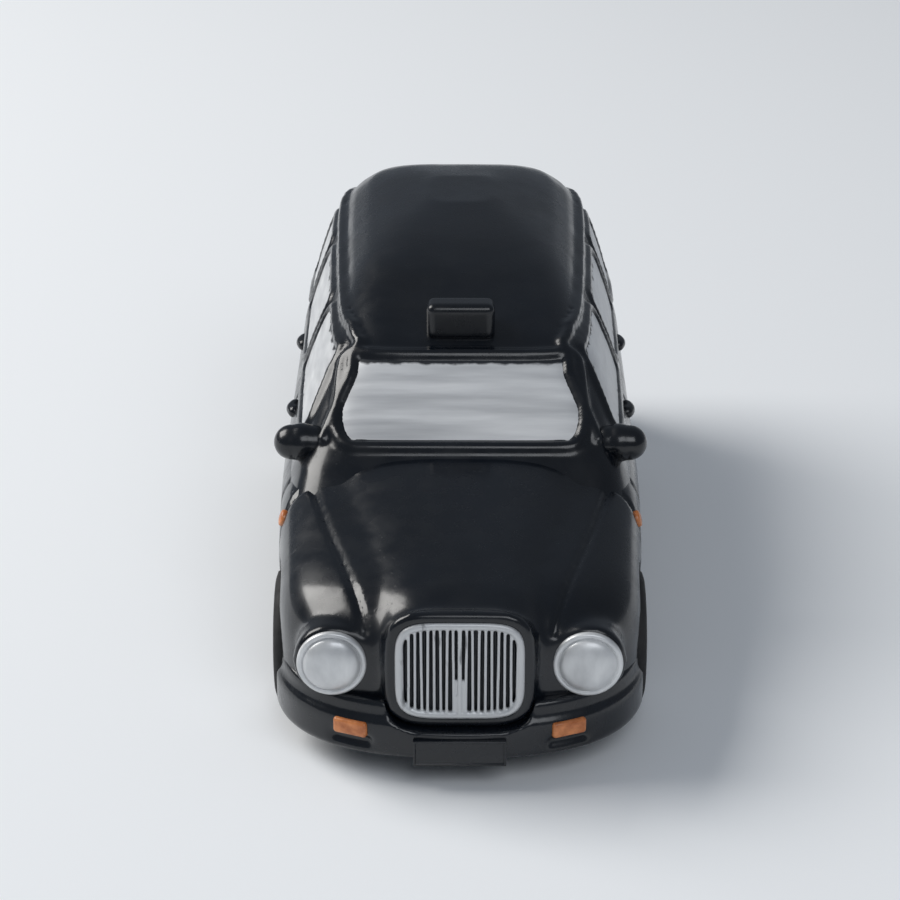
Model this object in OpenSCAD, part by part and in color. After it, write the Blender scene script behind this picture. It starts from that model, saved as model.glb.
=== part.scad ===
// Toy taxi cab: a hollow cast body on a screwed base plate, with wheels on two turning axles.
// Millimetres. The front faces -Y and up is +Z. The origin is on the floor under the middle.

/* [Overall] */
// Length over both number plates
model_l = 140; // [116:1:168]
// Width of the body at the doors
body_w = 56.6; // [47:0.2:68]
// Height from the floor to the top of the roof
roof_h = 54; // [48:0.2:64]

/* [Body] */
// Thickness of the cast walls
wall_t = 2.4; // [1.8:0.1:3]
// Height of the body's lower edge above the floor
sill_h = 4.5; // [3.6:0.1:5.5]
// Height of the bonnet at the nose
nose_h = 26; // [24:0.5:28]
// Height of the bonnet at the windscreen
scuttle_h = 32.6; // [31:0.2:35]
// Height of the waistline at the doors
waist_h = 30.6; // [28:0.2:32]
// Half width of the raised bonnet at the nose
bonnet_nose_w = 11.4; // [10.8:0.2:13]
// Half width of the raised bonnet at the windscreen
bonnet_rear_w = 21; // [17:0.5:22]
// Distance from the front plate to the foot of the windscreen
bonnet_l = 43; // [38:0.5:50]

/* [Windows] */
// Width of the pillars between the side windows
pillar_w = 4.2; // [3:0.2:6]
// Height of the side windows
side_window_h = 10.2; // [8:0.2:11]
// Half width of the windscreen at its foot
screen_w = 18.4; // [16:0.2:19.5]
// Half width of the rear window
rear_window_w = 15; // [12:0.5:17]
// Thickness of the window panels
window_t = 1.8; // [1.4:0.1:2.2]

/* [Front] */
// Width of the grille
grille_w = 18.4; // [15:0.2:19]
// Height of the grille
grille_h = 15.4; // [13:0.2:16]
// Number of slats in the grille
slat_count = 17; // [11:2:21]
// Diameter of a headlight's rim
headlight_d = 10; // [8:0.2:11]
// Distance of each headlight's middle from the widest part of the body
headlight_inset = 10.2; // [9:0.1:11.5]
// Height of the headlights' middles above the floor
headlight_h = 17.8; // [17:0.2:19]

/* [Bumpers] */
// Height of the bumpers from edge to edge
bumper_h = 8.4; // [7:0.2:9]
// Height of the bumpers' lower edges above the floor
bumper_low = 4.7; // [4.2:0.1:5.5]
// How far the bumpers stand out before the body's ends
bumper_out = 3; // [2.4:0.1:4]
// Width of a number plate
plate_w = 13.2; // [10:0.2:16]
// Height of a number plate
plate_h = 4; // [3:0.1:5]
// Width of an indicator
indicator_w = 5.2; // [4:0.1:6]

/* [Wheels] */
// Diameter over the tyre
tyre_d = 20; // [17:0.2:22]
// Width of the tyre
tyre_w = 6; // [5:0.1:7]
// Diameter of the wheel inside the tyre
wheel_d = 13.4; // [11:0.2:15]
// Diameter of the steel axles
axle_d = 2.4; // [2:0.1:3]
// Distance from the front plate to the front axle
front_overhang = 28.2; // [27:0.2:32]
// Distance from the rear axle to the rear plate
rear_overhang = 26.3; // [25:0.2:30]
// How far the tyres' outer faces lie inside the widest part of the doors
tyre_inset = 0.8; // [0.2:0.1:1.6]

/* [Base plate] */
// Thickness of the base plate
base_t = 1.8; // [1.4:0.1:2.4]
// Diameter of the two holes that take a display plinth's screws
plinth_hole_d = 3.2; // [2.4:0.1:4]
// Distance between the two plinth holes
plinth_hole_spacing = 24; // [16:0.5:28]
// Diameter of the screws that hold the base plate
screw_d = 2; // [1.6:0.1:2.6]

/* [Fits] */
// Radial running clearance of the axles in their bearings
running_fit = 0.05; // [0.02:0.01:0.1]
// Radial clearance of a piece that is pushed onto another
push_fit = 0.02; // [0.01:0.01:0.05]
// Gap all round a piece that sits in a pocket or an opening
seat_gap = 0.12; // [0.08:0.01:0.2]
// Gap between a tyre and its wheel arch
arch_gap = 1; // [0.8:0.1:1.6]

/* [Hidden] */
$fn = 48;

paint = "#0d1219";
silver = "#c3c6ca";
amber = "#cf7431";

half_l = model_l / 2;
half_w = body_w / 2;
eps = 0.01;

// The body's ends stand back from the plates by the bumpers, and the plates by their own step
plate_step = 0.5;
nose_y = -half_l + plate_step + bumper_out;
tail_y = half_l - plate_step - bumper_out;
front_axle_y = -half_l + front_overhang;
rear_axle_y = half_l - rear_overhang;
screen_y = -half_l + bonnet_l;
axle_z = tyre_d / 2;

// Lower body: rounded ends seen from above, rounded edges seen from the side
corner_l = 19;
rear_corner_l = 12;
corner_power = 2.7;
edge_l = 11;
edge_h = 5.5;
front_taper = 3;
taper_power = 1.6;
widest_z = sill_h + 10;
sill_tuck = 1;
// The shoulders are round at the nose and squarer at the doors
nose_power = 2.8;
door_power = 5;
function wing_share(y) = min(1, (y - nose_y) / (screen_y - nose_y));
function shoulder_power(y) = nose_power + (door_power - nose_power) * wing_share(y);

// 1 in the middle of the body, falling to 0 at an end that lies at distance d, as a rounded corner
function end_round(d, l, power) =
    d >= l ? 1 : pow(max(0, 1 - pow(1 - max(d, 0) / l, power)), 1 / power);
function end_distance(y, off) = min(y - nose_y, tail_y - y) - off;
function taper_share(y) = max(0, min(1, (screen_y + corner_l - y) / (screen_y + corner_l - nose_y)));
function end_corner_l(y) = y < 0 ? corner_l : rear_corner_l;
function body_half_w(y, off) = (half_w - off - front_taper * pow(taper_share(y), taper_power))
    * end_round(end_distance(y, off), end_corner_l(y), corner_power);
function ridge_h(y) = nose_h + (waist_h - nose_h) * wing_share(y);
function body_top(y, off) = ridge_h(y) - off - edge_h * (1 - end_round(end_distance(y, off), edge_l, 2));

function signed_power(v, p) = sign(v) * pow(abs(v), p);
function section_point(w, low, high, a, power) =
    [w * signed_power(cos(a), 2 / power), low + (high - low) * pow(sin(a), 2 / power)];

// One cross section of the lower body at y: over the top from -X to +X, then back along the sill
arc_steps = 16;
function body_section(y, off, bottom) = let (w = body_half_w(y, off), n = shoulder_power(y)) concat(
    [for (i = [arc_steps:-1:0])
        let (p = section_point(w, widest_z, body_top(y, off), 180 * i / arc_steps, n)) [p[0], y, p[1]]],
    [[w - sill_tuck, y, bottom], [-w + sill_tuck, y, bottom]]);

// Solid through a list of sections that all have the same number of points
module loft(sections) {
    n = len(sections[0]);
    m = len(sections);
    points = [for (s = sections) for (p = s) p];
    sides = [for (i = [0:m - 2]) for (j = [0:n - 1]) let (k = (j + 1) % n)
        each [[i * n + j, (i + 1) * n + k, i * n + k], [i * n + j, (i + 1) * n + j, (i + 1) * n + k]]];
    first_end = [for (j = [0:n - 1]) j];
    last_end = [for (j = [0:n - 1]) (m - 1) * n + n - 1 - j];
    polyhedron(points = points, faces = concat(sides, [first_end, last_end]), convexity = 6);
}

// Places along the lower body, closer together at its rounded ends
body_steps = 30;
function body_place(share, off) = nose_y + off + eps
    + (tail_y - nose_y - 2 * off - 2 * eps) * (1 - cos(180 * share)) / 2;
module lower_body(off, bottom, steps) {
    loft([for (i = [0:steps]) body_section(body_place(i / steps, off), off, bottom)]);
}

// Cabin: level by level, each an oblong with rounded corners, narrower at the front.
// Columns: share of the cabin's height, set back at the front, set in behind, set in at the sides,
// share of the width lost at the front
cabin_low = waist_h - 6;
LEVELS = [
    [0.00, -10.0,  2.4,  0.8, 0.02],
    [0.21,  -2.8,  2.7,  1.9, 0.05],
    [0.27,  -0.5,  2.9,  2.5, 0.07],
    [0.40,   4.6,  3.2,  3.6, 0.10],
    [0.53,   9.4,  3.5,  4.9, 0.14],
    [0.64,  13.0,  4.0,  6.2, 0.19],
    [0.71,  16.5,  4.6,  7.4, 0.21],
    [0.80,  24.0,  5.8,  9.4, 0.22],
    [0.89,  33.0,  8.6, 12.4, 0.22],
    [0.95,  42.0, 13.0, 16.2, 0.22],
    [1.00,  56.0, 24.0, 22.8, 0.22]
];
low_plan_power = 10;
top_plan_power = 4.5;
function column(share, c) = lookup(share, [for (r = LEVELS) [r[0], r[c]]]);
function share_at(z) = (z - cabin_low) / (roof_h - cabin_low);
function plan_power(z) = low_plan_power + (top_plan_power - low_plan_power) * pow(max(0, share_at(z)), 3);
function cabin_front(z) = screen_y + column(share_at(z), 1);
function cabin_rear(z) = tail_y - column(share_at(z), 2);
function cabin_half(z) = half_w - column(share_at(z), 3);
function cabin_mid(z) = (cabin_front(z) + cabin_rear(z)) / 2;
function cabin_reach(z) = (cabin_rear(z) - cabin_front(z)) / 2;
function narrowing(y, z) =
    1 - column(share_at(z), 4) * pow(max(0, (tail_y - y) / (tail_y - screen_y)), 2);
function rest_of(v, z) = pow(max(0, 1 - pow(min(1, abs(v)), plan_power(z))), 1 / plan_power(z));
// The cabin's outside: its side at (y, z), and its two ends at (x, z)
function cabin_side(y, z) =
    cabin_half(z) * narrowing(y, z) * rest_of((y - cabin_mid(z)) / cabin_reach(z), z);
function cabin_end(x, z, s) = let (near_y = cabin_mid(z) + s * cabin_reach(z))
    cabin_mid(z) + s * cabin_reach(z) * rest_of(x / (cabin_half(z) * narrowing(near_y, z)), z);

function cabin_section(z, off, steps) = [for (i = [0:steps - 1]) let (a = 360 * i / steps,
    reach = cabin_reach(z) - off,
    y = cabin_mid(z) + reach * signed_power(sin(a), 2 / plan_power(z)),
    x = (cabin_half(z) - off) * narrowing(y, z) * signed_power(cos(a), 2 / plan_power(z))) [x, y, z]];
cabin_steps = 14;
module cabin(off, low, high, steps) {
    loft([for (i = [0:steps]) cabin_section(low + (high - low) * sin(90 * i / steps), off, 3 * steps)]);
}

// Raised bonnet, wide at the windscreen and as wide as the grille's surround at the nose
bonnet_power = 3.4;
module bonnet_end(y, w, high) {
    low = high - 9;
    translate([0, y, 0])
        rotate([90, 0, 0])
            linear_extrude(1)
                polygon([for (i = [0:arc_steps])
                    section_point(w, low, high, 180 * i / arc_steps, bonnet_power)]);
}
module bonnet() {
    hull() {
        bonnet_end(nose_y + 1.2, bonnet_nose_w, nose_h + 0.4);
        bonnet_end(nose_y + 6, bonnet_nose_w + 1, nose_h + 1.9);
        bonnet_end(screen_y, bonnet_rear_w, scuttle_h);
        bonnet_end(screen_y + 6, bonnet_rear_w, scuttle_h - 1);
    }
}

// Drip rail along each side of the roof, bent down to the windscreen pillar in front
rail_z = cabin_low + 0.7 * (roof_h - cabin_low);
rail_d = 1.6;
rail_steps = 12;
rail_from_y = cabin_front(rail_z) + 2;
rail_to_y = cabin_rear(rail_z) - 4;
function rail_point(i, s) = let (y = rail_from_y + (rail_to_y - rail_from_y) * i / rail_steps)
    [s * cabin_side(y, rail_z), y, rail_z];
module drip_rail(s) {
    for (i = [0:rail_steps - 1])
        hull() {
            translate(rail_point(i, s)) sphere(d = rail_d, $fn = 8);
            translate(rail_point(i + 1, s)) sphere(d = rail_d, $fn = 8);
        }
}

// Side windows from the front. Columns: share of the glazed length
SIDE_WINDOWS = [0.43, 0.35, 0.22];
side_window_low = waist_h + 1.6;
side_window_high = side_window_low + side_window_h;
glazed_from = cabin_front(side_window_low) + 9;
glazed_to = tail_y - 11.5;
glass_l = glazed_to - glazed_from - 2 * pillar_w;
function shares_before(i) = i == 0 ? 0 : SIDE_WINDOWS[i - 1] + shares_before(i - 1);
function window_from(i) = glazed_from + glass_l * shares_before(i) + pillar_w * i;
function window_to(i) = window_from(i) + glass_l * SIDE_WINDOWS[i];
window_corner_r = 1.5;
window_set = 0.35;
// The front window's upper front corner leans back with the windscreen pillar
pillar_lean = cabin_front(side_window_high) - cabin_front(side_window_low) - 0.5;
module side_window_post(y, z, s, grow, depth) {
    x = cabin_side(y, z) - window_set + (depth - window_t) / 2;
    translate([s * x, y, z])
        rotate([0, -90 * s, 0])
            cylinder(r = window_corner_r + grow, h = depth, $fn = 16);
}
module side_window(i, s, grow, depth) {
    low = side_window_low + window_corner_r;
    high = side_window_high - window_corner_r;
    near = window_from(i) + window_corner_r;
    far = window_to(i) - window_corner_r;
    hull() {
        side_window_post(near, low, s, grow, depth);
        side_window_post(near + (i == 0 ? pillar_lean : 0), high, s, grow, depth);
        side_window_post(far, low, s, grow, depth);
        side_window_post(far, high, s, grow, depth);
    }
}

// Windscreen (s = -1) and rear window (s = 1), bowed as the cabin's ends are
screen_low = scuttle_h + 0.8;
screen_high = rail_z - 2;
screen_narrowing = 1.4;
rear_window_low = waist_h + 2.6;
rear_window_high = rail_z - 1;
end_window_columns = 3;
module end_window_post(x, z, s, grow, depth) {
    y = cabin_end(abs(x), z, s) - s * (window_set - (depth - end_window_t(s)) / 2);
    translate([x, y, z])
        rotate([90 * s, 0, 0])
            cylinder(r = window_corner_r + grow, h = depth, $fn = 16);
}
// The windscreen leans far back, so its depth along Y is larger than its thickness
function end_window_t(s) = s < 0 ? window_t * 1.7 : window_t;
module end_window(s, half, high_half, low, high, grow, depth) {
    hull()
        for (k = [-end_window_columns:end_window_columns]) {
            share = k / end_window_columns;
            end_window_post(share * (half - window_corner_r), low + window_corner_r, s, grow, depth);
            end_window_post(share * (high_half - window_corner_r), high - window_corner_r, s, grow, depth);
        }
}
module windscreen_shape(grow, depth) {
    end_window(-1, screen_w, screen_w - screen_narrowing, screen_low, screen_high, grow, depth);
}
module rear_window_shape(grow, depth) {
    end_window(1, rear_window_w, rear_window_w - 1, rear_window_low, rear_window_high, grow, depth);
}

// Grille: an upright oblong with bowed edges in a raised surround on the nose
grille_low = bumper_low + 5.8;
grille_t = 1.4;
surround_w = 1.2;
surround_out = 1.6;
grille_y = nose_y - surround_out;
slat_pitch = (grille_w - 3) / slat_count;
module grille_outline(grow) {
    r = 3.4;
    bow = 0.9;
    x = grille_w / 2 - r;
    z = grille_h / 2 - r - bow;
    hull() {
        for (sx = [-1, 1])
            for (sz = [-1, 1])
                translate([sx * x, sz * z]) circle(r = r + grow, $fn = 24);
        for (sz = [-1, 1])
            translate([0, sz * (z + bow)]) circle(r = r + grow, $fn = 24);
    }
}
module on_nose(z, y) {
    translate([0, y, z])
        rotate([90, 0, 0]) children();
}
module grille_block(grow, depth, out) {
    on_nose(grille_low + grille_h / 2, nose_y - out + depth)
        linear_extrude(depth) grille_outline(grow);
}

// Headlights on short round pods at the front corners
headlight_x = half_w - headlight_inset;
headlight_out = 1.4;
headlight_t = 1.2;
dome_h = 1.6;
pod_d = headlight_d + 1.6;
module at_headlight(s) {
    translate([s * headlight_x, nose_y + headlight_out, headlight_h])
        rotate([90, 0, 0]) children();
}

// Bumpers: a band that wraps each end of the body, in two steps
bumper_front_y = -half_l + plate_step;
step_z = bumper_low + bumper_h * 0.7;
upper_set = 0.7;
wrap_l = front_overhang - plate_step - tyre_d / 2 - arch_gap;
rear_wrap_l = rear_overhang - plate_step - tyre_d / 2 - arch_gap;
band_corner_l = corner_l + 4;
rear_band_corner_l = rear_corner_l + 2;
band_power = 2.5;
// How far the front bumper's ends lie inside the widest part of the doors
band_in = 0.9;
band_steps = 24;
// Half width of a bumper's outside at distance d behind its face, drawn in by set
function band_half_w(d, half, corner, set) = (half - set) * end_round(d - set, corner, band_power);
// Distance behind the bumper's front at which its outside passes x
function band_depth(x) = band_corner_l
    * (1 - pow(1 - pow(abs(x) / (half_w - band_in), band_power), 1 / band_power));
function band_turn(x) = atan((band_depth(x + 1) - band_depth(x - 1)) / 2);
module band(half, corner, set, wrap) {
    // From the middle of the front round one corner to the back edge, then mirrored
    steps = [for (i = [0:band_steps]) set + (wrap - set) * pow(i / band_steps, 2)];
    polygon(concat(
        [for (d = steps) [band_half_w(d, half, corner, set), d]],
        [for (i = [band_steps:-1:1]) [-band_half_w(steps[i], half, corner, set), steps[i]]]));
}
function front_half_w(d) = body_half_w(nose_y + d, 0);
function rear_half_w(d) = body_half_w(tail_y - d, 0);
module bumper_band(half, corner, wrap) {
    translate([0, 0, bumper_low])
        linear_extrude(step_z - bumper_low) band(half, corner, 0, wrap);
    translate([0, 0, step_z - eps])
        linear_extrude(bumper_low + bumper_h - step_z + eps) band(half, corner, upper_set, wrap);
}
module footprint_block(ends) {
    steps = [for (i = [0:band_steps]) (wrap_l + 12) * pow(i / band_steps, 2)];
    side = [for (d = steps)
        [(ends > 0 ? rear_half_w(d) : front_half_w(d)) + seat_gap, bumper_out - seat_gap + d]];
    translate([0, 0, -1])
        linear_extrude(roof_h)
            polygon(concat(side, [for (i = [band_steps:-1:0]) [-side[i][0], side[i][1]]]));
}

// Number plates: flat, in a shallow pocket of each bumper
plate_t = 1.2;
plate_low = bumper_low - 0.6;
module plate_block(grow) {
    translate([-plate_w / 2 - grow, -plate_step - grow, plate_low - grow])
        cube([plate_w + 2 * grow, plate_t + 2 * grow, plate_h + 2 * grow]);
}

// Indicators let into the bumper's step
indicator_x = headlight_x - 2.4;
indicator_h = 2.4;
indicator_z = step_z - indicator_h / 2 - 0.6;
indicator_t = 1.6;
indicator_out = 0.5;
module indicator_block(s, grow) {
    translate([s * indicator_x, bumper_front_y + band_depth(indicator_x), indicator_z])
        rotate([90, 0, s * band_turn(indicator_x)])
            translate([0, 0, -indicator_t - grow])
                linear_extrude(indicator_t + indicator_out + grow)
                    square([indicator_w + 2 * grow, indicator_h + 2 * grow], center = true);
}

// Round lamps on the front wings, and upright lamps on the tail
repeater_d = 2.6;
repeater_y = screen_y - 4;
repeater_z = waist_h - 6.4;
repeater_out = 0.5;
repeater_t = 1.8;
function below_top(y, z) = pow((z - widest_z) / (body_top(y, 0) - widest_z), shoulder_power(y));
function wing_side(y, z) = body_half_w(y, 0) * pow(max(0, 1 - below_top(y, z)), 1 / shoulder_power(y));
module side_round(s, y, z, d, out, depth) {
    translate([s * (wing_side(y, z) + out), y, z])
        rotate([0, -90 * s, 0]) cylinder(d = d, h = depth);
}
tail_light_x = half_w - 10;
tail_light_w = 4;
tail_light_h = 8;
tail_light_z = waist_h - edge_h - 6;
tail_light_t = 1.6;
tail_light_out = 0.6;
// Distance of the body's rear surface from its tail at x
function tail_depth(x) =
    rear_corner_l * (1 - pow(1 - pow(abs(x) / half_w, corner_power), 1 / corner_power));
tail_turn = atan((tail_depth(tail_light_x + 1) - tail_depth(tail_light_x - 1)) / 2);
module tail_light_block(s, grow) {
    translate([s * tail_light_x, tail_y - tail_depth(tail_light_x), tail_light_z])
        rotate([-90, 0, -s * tail_turn])
            translate([0, 0, -tail_light_t - grow])
                linear_extrude(tail_light_t + tail_light_out + grow)
                    square([tail_light_w + 2 * grow, tail_light_h + 2 * grow], center = true);
}

// Door handles: rounded bars, half let into the doors
handle_z = waist_h - 5.2;
handle_l = 4.6;
handle_d = 2.2;
handle_out = 0.9;
front_handle_y = window_to(0) - 1.5;
rear_handle_y = window_to(1) + 0.3;
module handle_bar(y, s, grow) {
    x = s * (wing_side(y, handle_z) + handle_out - handle_d / 2);
    hull()
        for (e = [-1, 1])
            translate([x, y + e * (handle_l - handle_d) / 2, handle_z])
                sphere(d = handle_d + 2 * grow, $fn = 16);
}

// Mirrors: egg shaped, on a short arm into the door's front corner
mirror_y = screen_y + 5.4;
mirror_z = waist_h + 2;
mirror_x = half_w - 2.6;
mirror_d = 6;
arm_d = 2;
arm_in = 1.4;
module mirror_egg(s, grow) {
    hull() {
        translate([s * mirror_x, mirror_y, mirror_z]) sphere(d = mirror_d + 2 * grow, $fn = 28);
        translate([s * (mirror_x - 2.2), mirror_y, mirror_z])
            sphere(d = mirror_d - 0.6 + 2 * grow, $fn = 28);
    }
}
arm_from_x = cabin_side(mirror_y, mirror_z) - arm_in;
module mirror_arm(s, grow) {
    translate([s * arm_from_x, mirror_y, mirror_z])
        rotate([0, 90 * s, 0]) cylinder(d = arm_d + 2 * grow, h = mirror_x - arm_from_x, $fn = 20);
}

// Roof sign in a pocket at the front of the roof
sign_w = 10.6;
sign_l = 4.6;
sign_h = 5.9;
sign_y = cabin_front(rail_z) + 0.2;
sign_low = rail_z - 0.3;
sign_top = sign_low + sign_h;
sign_r = 1.4;
sign_bevel = 0.8;
module sign_slab(inset, high, grow) {
    translate([0, sign_y + sign_l / 2, sign_low - grow])
        linear_extrude(high - sign_low + 2 * grow)
            hull()
                for (sx = [-1, 1])
                    for (sy = [-1, 1])
                        translate([sx * (sign_w / 2 - sign_r), sy * (sign_l / 2 - sign_r)])
                            circle(r = sign_r - inset + grow, $fn = 20);
}
module sign_block(grow) {
    hull() {
        sign_slab(0, sign_top - sign_bevel, grow);
        sign_slab(sign_bevel, sign_top, grow);
    }
}

// Base plate: fills the body's open underside
base_z = sill_h + 0.2;
base_top = base_z + base_t;
bearing_w = 7;
bearing_l = 5;
bearing_x = half_w - tyre_inset - tyre_w - 1.2 - bearing_w;
front_screw_y = front_axle_y + tyre_d / 2 + 2.2;
rear_screw_y = rear_axle_y - tyre_d / 2 - 2.2;
SCREWS = [front_screw_y, rear_screw_y];
AXLES = [front_axle_y, rear_axle_y];
screw_head_d = screw_d * 2.2;
screw_head_t = base_t * 0.55;
screw_recess = 0.1;
screw_l = 9;
post_d = screw_d + 4;
wheel_slot_l = tyre_d + 2 * arch_gap;
wheel_slot_x = half_w - tyre_inset - tyre_w - 0.6;

module arch_cut(y, s) {
    translate([s * wheel_slot_x, y, axle_z])
        rotate([0, 90 * s, 0]) cylinder(d = tyre_d + 2 * arch_gap, h = tyre_w + 4, $fn = 40);
    translate([s > 0 ? wheel_slot_x : -wheel_slot_x - tyre_w - 4, y - wheel_slot_l / 2, -1])
        cube([tyre_w + 4, wheel_slot_l, axle_z + 1]);
}

module screw_post(y) {
    top = y < screen_y ? scuttle_h - wall_t : roof_h - wall_t / 2;
    difference() {
        translate([0, y, base_top + seat_gap]) cylinder(d = post_d, h = top - base_top, $fn = 24);
        translate([0, y, base_top - 1]) cylinder(d = screw_d + 2 * push_fit, h = screw_l + 1.4, $fn = 24);
    }
}

cavity_steps = 8;
module body_shell() {
    color(paint) {
        difference() {
            union() {
                lower_body(0, sill_h, body_steps);
                bonnet();
                cabin(0, cabin_low, roof_h, cabin_steps);
                drip_rail(-1);
                drip_rail(1);
                grille_block(surround_w, surround_out + 1, surround_out);
                for (s = [-1, 1])
                    at_headlight(s) translate([0, 0, -9]) cylinder(d = pod_d, h = 9, $fn = 32);
            }
            difference() {
                union() {
                    lower_body(wall_t, -1, cavity_steps);
                    cabin(wall_t, cabin_low - 1, roof_h - wall_t, cavity_steps);
                }
                translate([-sign_w / 2 - 1, sign_y - 1.5, sign_low - wall_t])
                    cube([sign_w + 2, sign_l + 3, roof_h]);
                translate([-half_w, nose_y, sill_h])
                    cube([body_w, wall_t + 3.5, nose_h]);
            }
            translate([0, 0, -1])
                linear_extrude(base_top + seat_gap + 1)
                    offset(delta = seat_gap) plate_outline();
            for (y = AXLES)
                for (s = [-1, 1])
                    arch_cut(y, s);
            windscreen_shape(seat_gap, window_t * 1.7 + 8);
            rear_window_shape(seat_gap, window_t + 5);
            for (i = [0:2])
                for (s = [-1, 1])
                    side_window(i, s, seat_gap, window_t + 5);
            grille_block(seat_gap, grille_t + seat_gap + 2, surround_out + 2);
            for (s = [-1, 1]) {
                at_headlight(s)
                    translate([0, 0, -headlight_t - seat_gap])
                        cylinder(d = headlight_d + 2 * seat_gap, h = 9, $fn = 32);
                side_round(s, repeater_y, repeater_z, repeater_d + 2 * seat_gap, 2,
                    repeater_t - repeater_out + 2 + seat_gap);
                tail_light_block(s, seat_gap);
                handle_bar(front_handle_y, s, seat_gap);
                handle_bar(rear_handle_y, s, seat_gap);
                mirror_arm(s, seat_gap);
                mirror_egg(s, 2 * seat_gap);
            }
            sign_block(seat_gap);
        }
        for (y = SCREWS)
            screw_post(y);
    }
}

plate_rim = wall_t / 2;
function plate_point(i, s) = let (y = body_place(i / body_steps, plate_rim))
    [s * (body_half_w(y, plate_rim) - sill_tuck), y];
module plate_outline() {
    polygon(concat(
        [for (i = [0:body_steps]) plate_point(i, 1)],
        [for (i = [body_steps:-1:0]) plate_point(i, -1)]));
}
module base_plate() {
    color("#1b1d20") difference() {
        union() {
            translate([0, 0, base_z])
                linear_extrude(base_t) plate_outline();
            for (y = AXLES)
                for (s = [-1, 1])
                    translate([s > 0 ? bearing_x : -bearing_x - bearing_w, y - bearing_l / 2, base_z])
                        cube([bearing_w, bearing_l, axle_z + axle_d - base_z]);
        }
        for (y = AXLES)
            translate([-half_w, y, axle_z])
                rotate([0, 90, 0]) cylinder(d = axle_d + 2 * running_fit, h = body_w);
        for (y = AXLES)
            for (s = [-1, 1])
                translate([s > 0 ? wheel_slot_x : -wheel_slot_x - half_w, y - wheel_slot_l / 2, 0])
                    cube([half_w, wheel_slot_l, axle_z]);
        for (y = [-1, 1])
            translate([0, y * plinth_hole_spacing / 2, 0]) cylinder(d = plinth_hole_d, h = axle_z);
        for (y = SCREWS) {
            translate([0, y, 0]) cylinder(d = screw_d + 2 * running_fit, h = axle_z);
            translate([0, y, 0])
                cylinder(d = screw_head_d + 2 * seat_gap, h = base_z + screw_recess + screw_head_t);
        }
    }
}

module base_screw(y) {
    color("#9a9da0") union() {
        translate([0, y, base_z + screw_recess]) cylinder(d = screw_head_d, h = screw_head_t);
        translate([0, y, base_z + screw_recess + eps]) cylinder(d = screw_d, h = base_t + screw_l);
    }
}

module windscreen() {
    color(silver) windscreen_shape(0, end_window_t(-1));
}
module rear_window() {
    color(silver) rear_window_shape(0, window_t);
}
module door_window(i, s) {
    color(silver) side_window(i, s, 0, window_t);
}

module grille() {
    color(silver) difference() {
        grille_block(0, grille_t, surround_out);
        for (i = [0:slat_count - 1])
            if (i != (slat_count - 1) / 2)
                translate([(i - (slat_count - 1) / 2 - 0.25) * slat_pitch, grille_y - 1, grille_low + 2])
                    cube([slat_pitch / 2, 1.6, grille_h - 4]);
    }
}

module headlight(s) {
    r = headlight_d / 2;
    lens_r = r - 0.8;
    ball_r = (lens_r * lens_r + dome_h * dome_h) / (2 * dome_h);
    color(silver) at_headlight(s)
        translate([0, 0, -headlight_t])
            rotate_extrude()
                polygon(concat(
                    [[0, 0], [r, 0], [r, headlight_t], [lens_r, headlight_t]],
                    [for (i = [1:7]) let (x = lens_r * (1 - i / 8))
                        [x, headlight_t + dome_h - ball_r + sqrt(ball_r * ball_r - x * x)]],
                    [[0, headlight_t + dome_h]]));
}

module front_bumper() {
    color(paint) difference() {
        translate([0, bumper_front_y, 0])
            difference() {
                bumper_band(half_w - band_in, band_corner_l, wrap_l);
                footprint_block(-1);
            }
        grille_block(surround_w + seat_gap, 20, 12);
        for (s = [-1, 1]) {
            at_headlight(s) translate([0, 0, -9]) cylinder(d = pod_d + 2 * seat_gap, h = 20);
            indicator_block(s, seat_gap);
        }
        translate([0, bumper_front_y, 0]) plate_block(seat_gap);
    }
}

module rear_bumper() {
    color(paint) difference() {
        translate([0, -bumper_front_y, 0])
            mirror([0, 1, 0])
                difference() {
                    bumper_band(half_w, rear_band_corner_l, rear_wrap_l);
                    footprint_block(1);
                }
        translate([0, -bumper_front_y, 0]) mirror([0, 1, 0]) plate_block(seat_gap);
    }
}

module front_number_plate() {
    color("#15181c") translate([0, bumper_front_y, 0]) plate_block(0);
}
module rear_number_plate() {
    color("#15181c") translate([0, -bumper_front_y, 0]) mirror([0, 1, 0]) plate_block(0);
}

module indicator(s) {
    color(amber) indicator_block(s, 0);
}
module side_repeater(s) {
    color(amber) side_round(s, repeater_y, repeater_z, repeater_d, repeater_out, repeater_t);
}
module tail_light(s) {
    color("#8e1b16") tail_light_block(s, 0);
}

module mirror_pod(s) {
    color(paint) {
        mirror_egg(s, 0);
        mirror_arm(s, 0);
    }
}

module door_handle(y, s) {
    color(paint) handle_bar(y, s, 0);
}

module roof_sign() {
    color(paint) sign_block(0);
}

module axle(y) {
    reach = half_w - tyre_inset - 1;
    color("#b4b7ba") translate([-reach, y, axle_z])
        rotate([0, 90, 0]) cylinder(d = axle_d, h = 2 * reach);
}

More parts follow.
